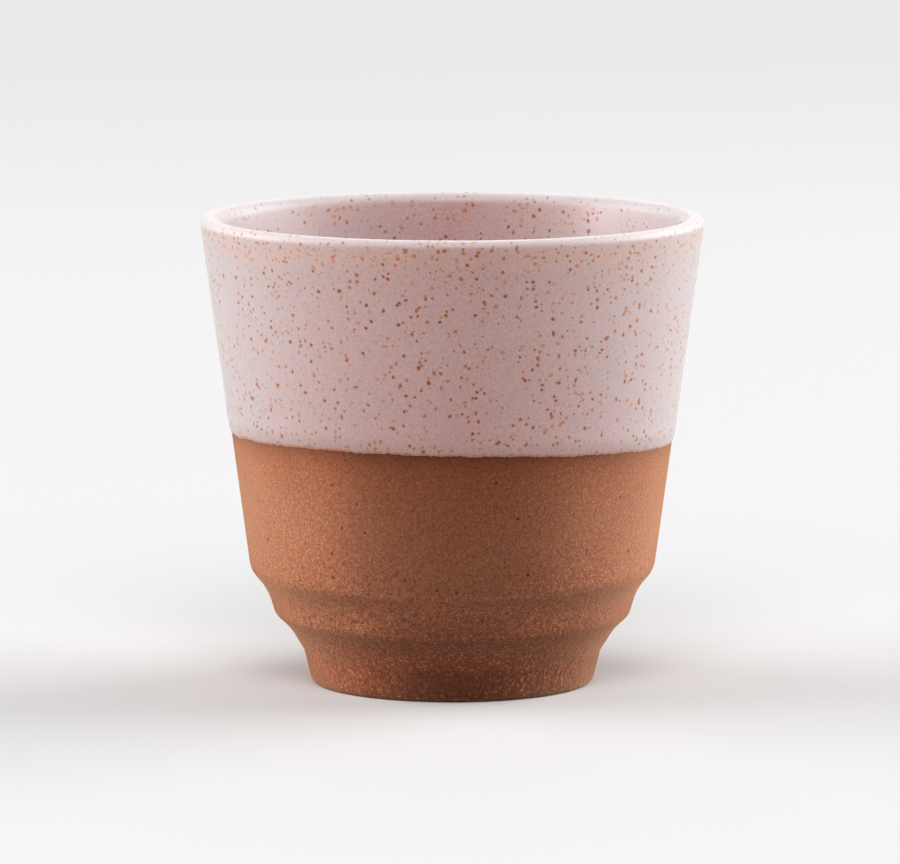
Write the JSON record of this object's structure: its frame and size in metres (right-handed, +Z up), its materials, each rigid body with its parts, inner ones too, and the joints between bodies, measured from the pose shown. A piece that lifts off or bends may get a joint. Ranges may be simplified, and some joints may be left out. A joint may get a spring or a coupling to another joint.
{
  "type": "ceramic cup",
  "caption": "Handleless stoneware cup with a tapered wall, two turned steps over a narrow foot ring, and speckled satin glaze dipped to a line half way down.",
  "frame": {"origin": "centre of the foot ring on the surface that the cup stands on", "axes": "+Z up along the cup's axis, -Y towards the viewer in the picture, where the glaze line is higher than at the back, and -X to the viewer's left"},
  "size_m": [0.085, 0.085, 0.0793],
  "materials": {
    "stoneware": "unglazed reddish-brown sandy stoneware, matt",
    "outer_glaze": "satin pink glaze with brown iron specks",
    "inner_glaze": "satin pink glaze with brown iron specks"
  },
  "bodies": {
    "root": {"clay_body": "stoneware", "outer_glaze": "outer_glaze", "inner_glaze": "inner_glaze"}
  },
  "joints": []
}
